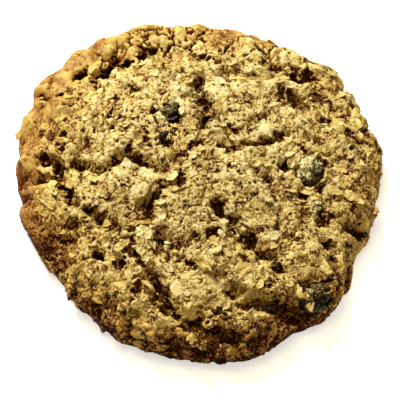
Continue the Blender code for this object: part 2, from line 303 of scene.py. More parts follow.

# Changes to the dough's tone, each as strong as the dough is grainy: specks of a size, which vary
# the tone at random, or marks of painted shade along the edges or in the middles of cells, the dark
# chip outlines and pinholes, with the cell's size and the mark's half width
DOUGH_MARKS = (
    ("SPECKS", 0.5, 2.4), ("SPECKS", 2.5, 0.34),
    ("DISTANCE_TO_EDGE", -0.8, 2.6, 0.09), ("DISTANCE_TO_EDGE", -0.5, 1.3, 0.10),
    ("F1", -0.4, 0.9, 0.26), ("F1", -0.6, 1.9, 0.22),
)
MARKED = (0.42, 0.58)  # where the marks set in, on their own wave

# Colours from dark to pale. Their dark ends show the painted shade of hollows and cracks as
# well as the browner crust.
GOLDEN = ((0.0, "#280600"), (0.15, "#582604"), (0.31, "#90651F"), (0.49, "#AB9044"),
          (0.64, "#B5A463"), (0.75, "#BCAC79"), (1.0, "#C8BA90"))
TREACLE = ((0.0, "#240400"), (0.15, "#522606"), (0.31, "#855819"), (0.49, "#A37E2F"),
           (0.64, "#B1933F"), (0.75, "#BB9F54"), (1.0, "#C8B16E"))
OAT_COLOURS = ((0.1, "#60300A"), (0.4, "#8E6A22"), (0.7, "#AE944E"), (1.0, "#C2AE76"))
RAISIN_COLOURS = ((0.1, "#0E0704"), (0.35, "#251B10"), (0.6, "#5E5834"), (0.8, "#948E62"),
                  (1.0, "#BEB68A"))
FLAKE_LOOK = {"tone": 1.1, "brown": 0.75, "grain": 0.7}

FLOOR_REACH = 2.0  # metres
FLOOR_DROP = 0.05  # under the cookie's base

# Lights: place in metres, size, power and colour
LIGHTS = {
    "key": ((-0.20, 0.40, 0.46), 0.18, 8.2, "#F8FFF6"),
    "fill": ((-0.1, 0.1, 0.7), 0.4, 2.3, "#FFEBC4"),
}
CAMERA_AIM = (0.4, -6.4, 7.0)
CAMERA_AWAY = 0.4  # metres
CAMERA_RISE = 61  # degrees over the table
SEEN_WIDTH = 109.0  # across the view, where the camera aims
SENSOR = 36.0

# Cracks between the clods, in millimetres: half width, depth, and the course's corners
CRACKS = (
    (0.8, 2.4, ((-28, 32), (-26, 33.5), (-24.5, 35), (-20.5, 36.5))),
    (0.8, 2.2, ((-25.5, 34), (-24, 39), (-23, 44))),
    (0.8, 2.2, ((-16.5, 44), (-16, 38))),
    (0.8, 2.2, ((-8.5, 36.5), (-5.5, 35.5))),
    (0.8, 2.4, ((-0.5, 37), (3, 36.5), (6, 35.5))),
    (1.2, 3.2, ((0, 29), (0.5, 26), (2.5, 17.5), (1.5, 14))),
    (0.7, 2.0, ((-35.5, 31), (-32.5, 33), (-29.5, 29), (-27, 25.5))),
    (0.6, 1.8, ((-38.5, 25), (-37, 26.5))),
    (0.6, 1.6, ((-44.5, 26), (-43, 25))),
    (0.9, 2.4, ((-23.5, 18.5), (-23.5, 16.5), (-20.5, 14.5))),
    (1.1, 2.8, ((-42.5, 5.5), (-39, 3.5), (-38, 1.5))),
    (0.9, 2.6, ((-42.5, -0.5), (-38.5, -1))),
    (0.7, 2.0, ((-39, 9), (-37.5, 6.5))),
    (0.9, 2.4, ((-36.5, -2), (-35, -5.5), (-35, -9))),
    (0.9, 2.4, ((-34, 2.5), (-29.5, 0.5), (-28, -0.5))),
    (0.8, 2.0, ((-22.5, 2.5), (-25, -0.5))),
    (1.1, 2.4, ((-19, 5.5), (-16, 2.5), (-14.5, 1.5))),
    (0.8, 2.2, ((-14.5, 11.5), (-14.5, 9))),
    (0.7, 2.0, ((-5, -2), (-4.5, -5.5))),
    (0.9, 2.8, ((-10, -6.5), (-11, -8.5), (-13, -10), (-13, -14.5))),
    (0.8, 2.0, ((-2.5, 6.5), (0.5, 7.5))),
    (0.6, 1.8, ((4.5, 7.5), (7.5, 6.5))),
    (0.7, 1.8, ((7.5, 12.5), (11, 10.5))),
    (0.7, 2.2, ((12.5, 7), (17.5, 7.5), (19.5, 9), (23.5, 11))),
    (0.7, 2.0, ((5.5, 0.5), (4.5, -2))),
    (0.5, 1.6, ((8.5, -1), (11, -2))),
    (1.1, 2.6, ((18.5, -3), (19.5, -5.5), (20.5, -8))),
    (1.0, 3.0, ((5.5, -11), (5.5, -12.5), (7.5, -15.5), (10, -20))),
    (1.4, 3.8, ((10, -20), (13.5, -20.5), (14.5, -23), (16.5, -26))),
    (0.9, 2.4, ((20, -29), (22, -31.5))),
    (0.6, 1.8, ((25, -21), (22.5, -21))),
    (1.0, 2.8, ((8, -33), (8.5, -34.5), (9, -37))),
    (0.7, 2.0, ((2.5, -19.5), (5, -20))),
    (1.0, 3.0, ((-12, -32), (-10.5, -34), (-8.5, -36), (-7, -39))),
    (0.9, 2.6, ((-16, -34.5), (-11.5, -37.5), (-11, -40), (-6, -41.5))),
    (0.8, 2.2, ((-19, -24.5), (-16, -26), (-15, -29))),
    (0.8, 2.2, ((-18, -18.5), (-17.5, -21.5))),
    (0.8, 2.2, ((-4.5, -27.5), (-1, -29))),
    (0.8, 2.0, ((-1, -44), (1.5, -44))),
    (0.9, 2.0, ((4.5, -48), (9, -48))),
    (1.1, 2.8, ((26, 32.5), (29.5, 30))),
    (0.9, 2.4, ((31.5, 28), (31, 34.5))),
    (0.8, 2.2, ((23.5, 26), (23, 22.5))),
    (1.2, 2.6, ((25.5, 24), (29.5, 20.5))),
    (0.8, 2.2, ((34, 18), (37, 16))),
    (0.8, 2.0, ((41, 13), (43, 11))),
    (0.7, 2.0, ((28.5, 5.5), (31, 4.5))),
    (0.7, 2.0, ((33.5, 2), (37, 1.5), (40.5, 0.5))),
    (0.9, 2.2, ((31.5, -16), (36, -14.5))),
    (0.8, 2.2, ((40.5, -16), (43, -17))),
    (0.8, 2.2, ((34, -21.5), (36, -24), (36.5, -25.5))),
    (0.8, 2.2, ((33.5, -31.5), (34.5, -33))),
    (1.3, 3.0, ((12, -39.5), (16.5, -39), (22, -39.5), (26.5, -43))),
)

# Open bubbles in the crust: x, y, radius and depth in millimetres
BUBBLES = (
    (-33, -16.5, 1.3, 3.2), (-31, -16, 0.9, 2.4), (-26, -26, 1.3, 3.4), (-20, -28.5, 1.3, 3.0),
    (-10, -21.5, 1.9, 4.0), (-6, -23.5, 1.0, 2.6), (-1, -21, 1.0, 2.4), (-29, -12, 0.9, 2.4),
    (-26, -15.5, 0.9, 2.2), (-37, 11, 0.8, 2.0), (1.5, 46, 0.9, 2.0), (19, 41, 1.1, 2.4),
    (18.5, 37, 0.8, 2.0), (8.5, 29, 0.8, 2.2), (16.5, 16.5, 1.1, 2.4), (42, 8, 0.8, 2.0),
    (41, -11.5, 0.9, 2.2), (28.5, -7.5, 1.3, 3.4), (32.5, -6, 1.2, 3.2), (23.5, 1, 1.4, 3.4),
    (-31.5, -34.5, 0.9, 2.2), (-21.5, -36.5, 0.9, 2.6), (-21.5, -39, 0.8, 2.2),
    (-3, -46, 1.0, 2.0), (7, -43.5, 1.0, 2.2), (18.5, -35, 1.0, 2.2), (-18.5, 26, 0.8, 2.0),
    (-12.5, 17.5, 1.0, 2.6), (-23, 23, 0.8, 1.8), (-9.5, -0.5, 0.8, 2.0), (40.5, -21, 0.8, 1.8),
    (5, -41.5, 0.9, 2.2), (-44, 13, 0.8, 1.6),
)

# Patches of paler or darker dough, partly the oven's uneven browning and partly painted light and
# painted shade that even out the light on the mounds and the near side: middle x, y, radius, and
# how much paler
TONE_AND_PAINTED_LIGHT_PATCHES = (
    (-10, -41, 13, 0.15), (12, -36, 9, 0.30), (12, -43, 9, 0.10), (16, 0, 10, 0.14),
    (43, -21, 8, 0.28), (22, 22, 9, 0.18), (-25, 2, 8, 0.06), (-43, 20, 8, 0.10),
    (1, 34, 5, 0.15), (1, 27, 5, 0.16), (12, 27, 5, 0.34), (-13, 35, 7, -0.14),
    (28, 35, 7, -0.06), (-4, 14, 7, -0.12), (-37, 9, 6, -0.12), (-32, -10, 6, -0.14),
    (-32, -22, 6, -0.15), (-15, -16, 7, -0.12), (5, -22, 8, -0.14), (-3, -33, 8, 0.12),
    (28, -16, 5, -0.10), (10, 42, 12, -0.12), (38, 22, 9, 0.12), (22, 46, 9, -0.12),
    (10, -6, 8, 0.12), (33, -22, 5, 0.18), (5, -34, 7, 0.20), (-47, 2, 8, 0.20),
    (-44, -14, 7, 0.14), (32, 32, 8, -0.18), (-28, 31, 8, 0.06), (48, 6, 6, 0.08),
    (-14, -42, 8, 0.20), (-37, 15, 7, -0.14), (-20, -16, 8, -0.12), (27, -12, 5, -0.14),
    (14, -23, 7, -0.12), (44, -23, 5, 0.30), (12, -36, 8, 0.12), (-2, -42, 7, 0.10),
    (-8, 39, 6, -0.12), (28, 30, 6, -0.12), (-34, 31, 8, 0.14), (-42, 17, 8, 0.08),
    (15, -37, 7, 0.14), (-8, -3, 6, -0.10), (-13, 28, 6, 0.08), (-8, 22, 5, 0.08),
    (33, 2, 4, 0.14), (-49, 14, 7, 0.26), (-45, 24, 6, 0.04), (-48, -6, 6, 0.10),
    (16, 17, 9, 0.08), (36, -18, 7, 0.14), (47, -5, 7, 0.12), (36, 8, 6, 0.10),
    (-4, -36, 8, 0.10), (-22, -40, 7, 0.12), (-12, -30, 6, 0.08), (22, 10, 7, 0.10),
    (-38, -28, 8, 0.22), (-32, -34, 8, 0.16), (-26, -38, 7, 0.12), (0, 48, 10, -0.14),
    (20, 44, 8, -0.08), (-20, 44, 8, -0.10), (30, 22, 7, 0.10), (32, 16, 6, 0.10),
    (-14, -10, 5, 0.10), (46, -22, 6, 0.12), (12, -36, 6, 0.12), (-13, 8, 5, -0.08),
    (-4, -16, 5, -0.10), (8, 47, 9, -0.10), (-10, 46, 8, -0.10), (-36, 16, 8, -0.10),
    (-18, 14, 8, -0.08), (-6, 13, 6, -0.10), (-25, -16, 6, -0.08), (-20, -16, 5, -0.08),
    (42, -22, 5, 0.10), (-4, 29, 6, 0.15), (38, -29, 7, 0.10), (-14, 46, 9, -0.08),
    (-22, -34, 8, 0.08), (38, -22, 8, 0.14), (8, -37, 10, 0.10), (-16, -10, 5, 0.14),
    (6, -11, 7, 0.08), (-19, 2, 5, 0.14), (-8, 2, 5, -0.12), (12, 7, 7, 0.08), (24, 21, 7, 0.08),
    (-6, 22, 6, 0.10), (-5, 32, 4, 0.12), (46, -20, 6, 0.12), (4, 41, 6, -0.10),
    (-12, -39, 9, 0.18), (6, -35, 5, 0.16), (-38, -29, 6, 0.22), (33, -22, 6, 0.14),
    (45, -23, 6, 0.14), (-48, 2, 5, -0.16), (-17, -16, 5, -0.12), (26, -28, 9, 0.08),
    (28, 22, 7, 0.12), (2, 36, 6, 0.08), (20, 4, 7, 0.06), (-28, -15, 5, 0.16),
    (-20, -10, 4, 0.10), (46, -8, 8, 0.12), (32, -30, 9, 0.10), (45, -23, 5, 0.10),
)

# Where the dough rose more than around: middle x, y, radius, how far up and how far outwards
SWELLS = (
    (15, -37.5, 8, 3.4, 0.0), (-37, 31, 10, 0.5, 1.3), (24, -36, 6, 1.0, 0.3),
    (43, -30, 11, 0.0, -2.4), (52, -7, 10, 0.0, -0.9),
)

# Oat flakes that stand out: middle x, y, length, width, turn and tilt in degrees
FLAKES = (
    (33.2, -29.1, 8.0, 2.6, -50, 15), (25.9, -36.2, 5.5, 3.0, -60, 15),
    (-2.5, -42.2, 6.5, 4.6, 20, 30), (-9.7, -44.9, 3.6, 2.8, 0, 25),
    (-39.0, 17.9, 5.0, 3.6, 60, 20), (-31.3, -29.2, 6.0, 2.2, 35, 30),
    (40.9, -7.9, 8.0, 2.8, -38, 8), (36.2, -7.2, 6.0, 2.8, -35, 8),
    (39.0, 0.8, 5.0, 3.4, -30, 15), (34.6, 6.6, 4.6, 3.0, 30, 15),
    (37.4, -12.0, 4.6, 3.6, 10, 12), (24.2, -12.6, 5.4, 2.8, 75, 15),
    (46.4, 8.0, 5.0, 2.6, -60, 20), (30.0, -24.0, 4.6, 2.6, -50, 15),
    (14.4, 27.3, 6.0, 4.6, 15, 10), (6.0, 19.3, 6.4, 4.0, 70, 25), (-6.5, 32.2, 5.0, 3.8, 10, 20),
    (-0.6, 32.9, 6.4, 3.4, -55, 30), (-3.1, 28.1, 5.0, 3.6, 30, 15),
    (14.2, -14.3, 6.0, 4.0, -20, 25), (19.2, -15.6, 5.0, 3.0, -60, 35),
    (11.6, -31.9, 5.4, 4.4, 40, 15), (30.0, 20.5, 5.4, 3.6, -20, 20),
    (-21.0, -9.5, 5.2, 3.6, 50, 20), (2.0, -30.0, 5.6, 4.0, -30, 20),
)


def linear(code):
    """An sRGB hex colour as linear red, green, blue and alpha."""
    parts = [int(code[i:i + 2], 16) / 255 for i in (1, 3, 5)]
    bent = [c / 12.92 if c <= 0.04045 else ((c + 0.055) / 1.055) ** 2.4 for c in parts]
    return (*bent, 1.0)


def fill(tree, node, inputs):
    """Set or link a node's inputs."""
    for socket, value in inputs.items():
        if isinstance(value, bpy.types.NodeSocket):
            tree.links.new(value, node.inputs[socket])
        else:
            node.inputs[socket].default_value = value


def add(tree, kind, inputs=None, stops=(), **options):
    """Add one node, set its options, and set or link its inputs and its colour stops."""
    made = tree.nodes.new(kind)
    for name, value in options.items():
        setattr(made, name, value)
    fill(tree, made, inputs or {})
    for place, code in stops[2:]:
        made.color_ramp.elements.new(place)
    for number, (place, code) in enumerate(stops):
        made.color_ramp.elements[number].position = place
        made.color_ramp.elements[number].color = linear(code)
    return made


def recipe(name, sizes):
    """A Geometry Nodes tree with a mesh input, named inputs, and a mesh output."""
    tree = bpy.data.node_groups.new(name, "GeometryNodeTree")
    tree.interface.new_socket("Mesh", in_out="INPUT", socket_type="NodeSocketGeometry")
    for label, kind in sizes.items():
        tree.interface.new_socket(label, in_out="INPUT", socket_type="NodeSocket" + kind)
    tree.interface.new_socket("Mesh", in_out="OUTPUT", socket_type="NodeSocketGeometry")
    return tree, add(tree, "NodeGroupInput").outputs


def apply_recipe(piece, tree, values):
    """Run a tree on a piece, with its inputs set by identifier, and keep the result."""
    step = piece.modifiers.new(tree.name, "NODES")
    step.node_group = tree
    for socket in tree.interface.items_tree:
        if socket.in_out == "INPUT" and socket.name in values:
            step[socket.identifier] = values[socket.name]
    return settle(piece)


def settle(piece):
    """Turn a piece with its modifiers into a plain mesh."""
    depsgraph = bpy.context.evaluated_depsgraph_get()
    mesh = bpy.data.meshes.new_from_object(piece.evaluated_get(depsgraph))
    piece.modifiers.clear()
    piece.data = mesh
    return piece


def new_piece(name, shape):
    """An object for a bmesh, linked to the scene."""
    mesh = bpy.data.meshes.new(name)
    shape.to_mesh(mesh)
    shape.free()
    piece = bpy.data.objects.new(name, mesh)
    bpy.context.scene.collection.objects.link(piece)
    return piece


def finish_piece(piece, material=None):
    """Set a piece's material, and tell the frame its body."""
    if material:
        piece.data.materials.clear()
        piece.data.materials.append(material)
    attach(piece, BODY)


def welded_copy(node):
    """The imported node's mesh as a bmesh, with its loose triangles joined."""
    shape = bmesh.new()
    shape.from_mesh(node.data)
    bmesh.ops.remove_doubles(shape, verts=shape.verts[:], dist=WELD * MM)
    return shape


def rounded(piece, rounds):
    """Subdivide a piece smoothly."""
    rounding = piece.modifiers.new("round", "SUBSURF")
    rounding.levels = rounding.render_levels = rounds
    return settle(piece)


def fused(piece, voxel):
    """Make one closed skin of all that a piece holds."""
    fuse = piece.modifiers.new("fuse", "REMESH")
    fuse.mode = "VOXEL"
    fuse.voxel_size = voxel * MM
    return settle(piece)


def thinned(piece, most):
    """Take a piece down to a number of triangles."""
    triangles = sum(len(face.vertices) - 2 for face in piece.data.polygons)
    thin = piece.modifiers.new("thin", "DECIMATE")
    thin.ratio = min(1.0, most / triangles)
    return settle(piece)


def joined(name, pieces):
    """One piece that holds the meshes of several, which are removed."""
    shape = bmesh.new()
    for piece in pieces:
        shape.from_mesh(piece.data)
        bpy.data.objects.remove(piece)
    return new_piece(name, shape)


def points_of(mesh):
    """Vertex places in millimetres."""
    flat = np.empty(len(mesh.vertices) * 3, np.float32)
    mesh.vertices.foreach_get("co", flat)
    return flat.reshape(-1, 3).astype(float) / MM


def normals_of(mesh):
    """Vertex normals."""
    flat = np.empty(len(mesh.vertices) * 3, np.float32)
    mesh.vertex_normals.foreach_get("vector", flat)
    return flat.reshape(-1, 3).astype(float)


def set_points(mesh, places):
    """Put the vertices at places given in millimetres."""
    mesh.vertices.foreach_set("co", (places * MM).astype(np.float32).ravel())
    mesh.update()


def set_value(mesh, name, values):
    """Store one number for each vertex, or the same number for all."""
    layer = mesh.attributes.get(name) or mesh.attributes.new(name, "FLOAT", "POINT")
    values = np.broadcast_to(np.asarray(values, np.float32), len(mesh.vertices))
    layer.data.foreach_set("value", np.ascontiguousarray(values))


def value_of(mesh, name):
    """Read one number for each vertex, and drop the attribute."""
    values = np.empty(len(mesh.vertices), np.float32)
    layer = mesh.attributes[name]
    layer.data.foreach_get("value", values)
    mesh.attributes.remove(layer)
    return values.astype(float)


def ease(value, start=0.0, end=1.0):
    """Smoothstep on an array, from 0 at the start to 1 at the end."""
    share = np.clip((value - start) / (end - start), 0.0, 1.0)
    return share * share * (3.0 - 2.0 * share)


def at_least(least, share):
    """Turn a share of 0 to 1 into one of a least value to 1."""
    return least + (1.0 - least) * share


def reach_of(places):
    """Distance of each point from the cookie's middle, in plan."""
    return np.hypot(places[:, 0], places[:, 1])


def away_from(places, x, y):
    """Distance of each point from another, in plan."""
    return np.hypot(places[:, 0] - x, places[:, 1] - y)


def across_box(places, name):
    """Places in a node's box, from -1 to 1 along each side."""
    low, high = (np.array(corner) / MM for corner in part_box(name))
    return (places - (low + high) / 2) / ((high - low) / 2)


def away_from_raisins(places):
    """0 on the bare part of a raisin, 1 where the dough is free to lie."""
    free = np.ones(len(places))
    for name in RAISINS:
        share = np.linalg.norm(across_box(places, name)[:, :2], axis=1)
        free = np.minimum(free, ease((share - RAISIN_DRESS[name]["bare"]) / RAISIN_LAP))
    return free


def towards_far_left(places):
    """0 from the middle to the near right, rising to 1 at the far left."""
    return ease(places[:, 1] - places[:, 0], 0.0, FAR_LEFT_REACH)


def inside_crust(places):
    """1 on the cookie's broken top, 0 on the smoother band inside its far and left rim."""
    far_or_left = ease(places[:, 1] - places[:, 0], *CRUST_SIDE)
    return 1.0 - far_or_left * ease(reach_of(places), *CRUST_BAND)


def far_lobes(places):
    """1 in the band of smooth lobes along the far rim, 0 elsewhere."""
    far = ease(places[:, 1], *LOBE_Y) * ease(places[:, 0], *LOBE_X)
    return far * ease(reach_of(places), *LOBE_BAND)


def distance_to_course(xy, course):
    """Distance in plan from each point to a broken line."""
    nearest = np.full(len(xy), np.inf)
    for start, end in zip(course, course[1:]):
        start = np.array(start, float)
        run = np.array(end, float) - start
        along = np.clip((xy - start) @ run / (run @ run), 0.0, 1.0)
        gap = np.linalg.norm(xy - start - along[:, None] * run, axis=1)
        nearest = np.minimum(nearest, gap)
    return nearest


def shaken(tree, place, size, push):
    """A place pushed about by waves of a size in millimetres, and the waves themselves."""
    wave = add(tree, "ShaderNodeTexNoise", {"Vector": place, "Detail": 2.0,
                                            "Scale": 1 / (size * MM)})
    centred = add(tree, "ShaderNodeVectorMath", {0: wave.outputs["Color"], 1: (0.5,) * 3},
                  operation="SUBTRACT")
    moved = add(tree, "ShaderNodeVectorMath", {0: centred.outputs[0], 1: (push * MM,) * 3,
                                               2: place}, operation="MULTIPLY_ADD")
    return moved.outputs[0], wave.outputs[0]


def stored(tree, mesh, name, value):
    """Store a value for each point under a name."""
    return add(tree, "GeometryNodeStoreNamedAttribute",
               {"Geometry": mesh, "Name": name, "Value": value},
               data_type="FLOAT", domain="POINT").outputs[0]


def slope_across(tree, spot, cells, size):
    """How far a point is along its own cell's slope, in cells, so each cell tips its own way."""
    offset = add(tree, "ShaderNodeVectorMath", {0: spot, 1: cells.outputs["Position"]},
                 operation="SUBTRACT")
    way = add(tree, "ShaderNodeVectorMath", {0: cells.outputs["Color"], 1: (0.5,) * 3},
              operation="SUBTRACT")
    along = add(tree, "ShaderNodeVectorMath", {0: offset.outputs[0], 1: way.outputs[0]},
                operation="DOT_PRODUCT")
    return add(tree, "ShaderNodeMath", {0: along.outputs["Value"], 1: 1 / (size * MM)},
               operation="MULTIPLY").outputs[0]


def pattern_tree(name, labels):
    """Store named patterns on a mesh. Each is read at its point's own place, once shaken.

    With a height share of 0 a pattern is the same at every height.
    """
    tree, given = recipe(name, {"Height Share": "Float"})
    place = add(tree, "GeometryNodeInputPosition").outputs[0]
    share = add(tree, "ShaderNodeCombineXYZ", {"X": 1.0, "Y": 1.0, "Z": given["Height Share"]})
    place = add(tree, "ShaderNodeVectorMath", {0: place, 1: share.outputs[0]},
                operation="MULTIPLY").outputs[0]
    result = given["Mesh"]
    for label in labels:
        kind, feature, size, shake = PATTERNS[label]
        spot = place
        if shake:
            spot, _ = shaken(tree, place, SHAKE_WAVE * shake, SHAKE_PUSH * shake)
        if kind == "NOISE":
            texture = add(tree, "ShaderNodeTexNoise", {"Vector": spot, "Scale": 1 / (size * MM),
                                                       "Detail": 3.0, "Roughness": 0.6})
            value = texture.outputs[0]
        else:
            texture = add(tree, "ShaderNodeTexVoronoi", {"Vector": spot,
                                                         "Scale": 1 / (size * MM)},
                          feature=feature)
            value = texture.outputs["Color" if label.endswith("step") else "Distance"]
            if label.endswith("lean"):
                value = slope_across(tree, spot, texture, size)
        result = stored(tree, result, label, value)
    add(tree, "NodeGroupOutput", {0: result})
    return tree


def hollow_tree(name):
    """Store how hollow the skin is at each point, in metres, for each reach of smoothing."""
    tree, given = recipe(name, {})
    place = add(tree, "GeometryNodeInputPosition").outputs[0]
    normal = add(tree, "GeometryNodeInputNormal").outputs[0]
    result = given["Mesh"]
    for label, (rounds, _) in HOLLOWS.items():
        spread = add(tree, "GeometryNodeBlurAttribute", {"Value": place, "Iterations": rounds},
                     data_type="FLOAT_VECTOR")
        gap = add(tree, "ShaderNodeVectorMath", {0: spread.outputs[0], 1: place},
                  operation="SUBTRACT")
        hollow = add(tree, "ShaderNodeVectorMath", {0: gap.outputs[0], 1: normal},
                     operation="DOT_PRODUCT")
        result = stored(tree, result, label, hollow.outputs["Value"])
    add(tree, "NodeGroupOutput", {0: result})
    return tree


def closeness_tree(name):
    """Store how near each point is to another piece, from 1 on it to 0 at the given reach."""
    tree, given = recipe(name, {"Other": "Object", "Reach": "Float"})
    other = add(tree, "GeometryNodeObjectInfo", {"Object": given["Other"]})
    gap = add(tree, "GeometryNodeProximity", {0: other.outputs["Geometry"]},
              target_element="FACES")
    share = add(tree, "ShaderNodeMapRange", {"Value": gap.outputs["Distance"], "From Min": 0.0,
                                             "From Max": given["Reach"], "To Min": 1.0,
                                             "To Max": 0.0})
    add(tree, "NodeGroupOutput", {0: stored(tree, given["Mesh"], "oat", share.outputs[0])})
    return tree


def scatter_tree(name, material=None):
    """Scatter a collection's shapes over a surface, tilted, sunk and sized at random."""
    tree, given = recipe(name, {
        "Shapes": "Collection", "Per Square Metre": "Float", "Seed": "Int", "Smallest": "Float",
        "Largest": "Float", "Tilt": "Float", "Sink": "Float", "Tone Spread": "Float",
    })
    share = add(tree, "GeometryNodeInputNamedAttribute", {"Name": "share"}, data_type="FLOAT")
    density = add(tree, "ShaderNodeMath", {0: given["Per Square Metre"],
                                           1: share.outputs["Attribute"]}, operation="MULTIPLY")
    spots = add(tree, "GeometryNodeDistributePointsOnFaces",
                {"Mesh": given["Mesh"], "Density": density.outputs[0], "Seed": given["Seed"]})
    tilt_low, spread_low = (
        add(tree, "ShaderNodeMath", {0: given[name], 1: -1.0}, operation="MULTIPLY").outputs[0]
        for name in ("Tilt", "Tone Spread"))
    lean_low, lean_high = (
        add(tree, "ShaderNodeCombineXYZ", {"X": tilt, "Y": tilt, "Z": half_turn}).outputs[0]
        for tilt, half_turn in ((tilt_low, -math.pi), (given["Tilt"], math.pi)))
    lean = add(tree, "FunctionNodeRandomValue", {"Min": lean_low, "Max": lean_high, "Seed": 11},
               data_type="FLOAT_VECTOR")
    turn = add(tree, "FunctionNodeRotateRotation",
               {"Rotation": spots.outputs["Rotation"], "Rotate By": lean.outputs[0]},
               rotation_space="LOCAL")
    size = add(tree, "FunctionNodeRandomValue", {"Min": given["Smallest"],
                                                 "Max": given["Largest"], "Seed": 12},
               data_type="FLOAT")
    drop = add(tree, "ShaderNodeVectorMath", {0: spots.outputs["Normal"], "Scale": given["Sink"]},
               operation="SCALE")
    sunk = add(tree, "GeometryNodeSetPosition", {"Geometry": spots.outputs["Points"],
                                                 "Offset": drop.outputs[0]})
    # Each shape takes the tone of the ground under it, painted shade included, varied at random.
    tone = add(tree, "GeometryNodeInputNamedAttribute", {"Name": "tone"}, data_type="FLOAT")
    lighter = add(tree, "FunctionNodeRandomValue", {"Min": spread_low,
                                                    "Max": given["Tone Spread"], "Seed": 13},
                  data_type="FLOAT")
    mixed = add(tree, "ShaderNodeMath", {0: tone.outputs["Attribute"], 1: lighter.outputs[1]},
                operation="ADD")
    toned = stored(tree, sunk.outputs[0], "tone", mixed.outputs[0])
    shapes = add(tree, "GeometryNodeCollectionInfo",
                 {"Collection": given["Shapes"], "Separate Children": True,
                  "Reset Children": True})
    placed = add(tree, "GeometryNodeInstanceOnPoints",
                 {"Points": toned, "Instance": shapes.outputs[0], "Pick Instance": True,
                  "Rotation": turn.outputs[0], "Scale": size.outputs[1]})
    result = add(tree, "GeometryNodeRealizeInstances", {"Geometry": placed.outputs[0]}).outputs[0]
    if material:
        result = add(tree, "GeometryNodeSetMaterial", {"Geometry": result,
                                                       "Material": material}).outputs[0]
    add(tree, "NodeGroupOutput", {0: result})
    return tree


def stock(name, shapes):
    """A collection of shapes to scatter. It isn't linked to the scene, so it doesn't show."""
    collection = bpy.data.collections.new(name)
    for number, shape in enumerate(shapes):
        mesh = bpy.data.meshes.new(f"{name}_{number}")
        shape.to_mesh(mesh)
        shape.free()
        collection.objects.link(bpy.data.objects.new(mesh.name, mesh))
    return collection


def scattered(ground, name, share, shapes, kind, material=None, turn=0):
    """Scatter shapes over a piece as one joined piece of its own, laid as its kind is."""
    piece = ground.copy()
    piece.data = ground.data.copy()
    piece.name = name
    bpy.context.scene.collection.objects.link(piece)
    set_value(piece.data, "share", share)
    values = dict(zip(LAYING_INPUTS, LAYING[kind]), Shapes=shapes)
    values["Seed"] += turn
    values["Sink"] *= -MM
    apply_recipe(piece, scatter_tree("scatter_" + name, material), values)
    piece.data.shade_flat()
    return piece


def lump_shape(seed, length, width, thickness):
    """A lumpy oval chip, about the shape of a rolled oat under a coat of dough."""
    shape = bmesh.new()
    bmesh.ops.create_icosphere(shape, subdivisions=3, radius=0.5)
    for vertex in shape.verts:
        swell = 1.0 + LUMP_SWELL * noise.noise(vertex.co * LUMP_WAVES + Vector((seed, 0, 0)))
        bend = LUMP_BEND * vertex.co.x ** 2
        flat = math.copysign(abs(vertex.co.z * 2) ** LUMP_FLATNESS / 2, vertex.co.z)
        vertex.co = Vector((vertex.co.x * length * swell, vertex.co.y * width * swell,
                            flat * thickness * swell + bend * length))
        vertex.co *= MM
    return shape


def oat_shape(seed, length, width, thickness, spokes, broken, rings=3):
    """One rolled oat: a thin cracked oval with a curl and a groove down its middle."""
    rng = random.Random(seed)
    curl = rng.uniform(*OAT_CURL) * length / 6
    ragged = [1.0 + rng.uniform(-broken, 0.6 * broken) for _ in range(spokes)]
    shape = bmesh.new()
    layers = []
    for side in (1.0, -1.0):
        centre = shape.verts.new((0, 0, side * thickness / 2 * MM))
        loops = []
        for ring in range(1, rings + 1):
            share = ring / rings
            loop = []
            for spoke in range(spokes):
                angle = math.tau * spoke / spokes
                reach = share * (1 + (ragged[spoke] - 1) * share)
                x = 0.5 * length * reach * math.cos(angle)
                y = 0.5 * width * reach * math.sin(angle)
                thick = thickness * (1.0 - OAT_TAPER * share ** 3)
                groove = OAT_GROOVE * math.exp(-(y / OAT_GROOVE_WIDTH) ** 2) * side
                z = side * thick / 2 - groove + curl * (reach * math.cos(angle)) ** 2
                for rise, size in OAT_WAVES:
                    z += rise * noise.noise(Vector((x, y, seed)) / size)
                loop.append(shape.verts.new(Vector((x, y, z)) * MM))
            loops.append(loop)
        layers.append((centre, loops))
    for centre, loops in layers:
        for spoke in range(spokes):
            after = (spoke + 1) % spokes
            shape.faces.new((centre, loops[0][spoke], loops[0][after]))
            for inner, outer in zip(loops, loops[1:]):
                shape.faces.new((inner[spoke], outer[spoke], outer[after], inner[after]))
    top, bottom = layers[0][1][-1], layers[1][1][-1]
    for spoke in range(spokes):
        after = (spoke + 1) % spokes
        shape.faces.new((top[after], top[spoke], bottom[spoke], bottom[after]))
    bmesh.ops.recalc_face_normals(shape, faces=shape.faces[:])
    return shape


def crumb_shape(seed, rounds):
    """One crumb: an uneven pebble, or without rounds an uneven four-sided point."""
    shape = bmesh.new()
    if rounds:
        bmesh.ops.create_icosphere(shape, subdivisions=rounds, radius=1.0)
    else:
        bmesh.ops.create_cone(shape, cap_ends=False, segments=4, radius1=1.0, radius2=0.0,
                              depth=1.0)
    for vertex in shape.verts:
        push = noise.noise(vertex.co * CRUMB_WAVES + Vector((seed * 3.1, 0, 0)))
        vertex.co *= 1.0 + CRUMB_PUSH * push
    return shape


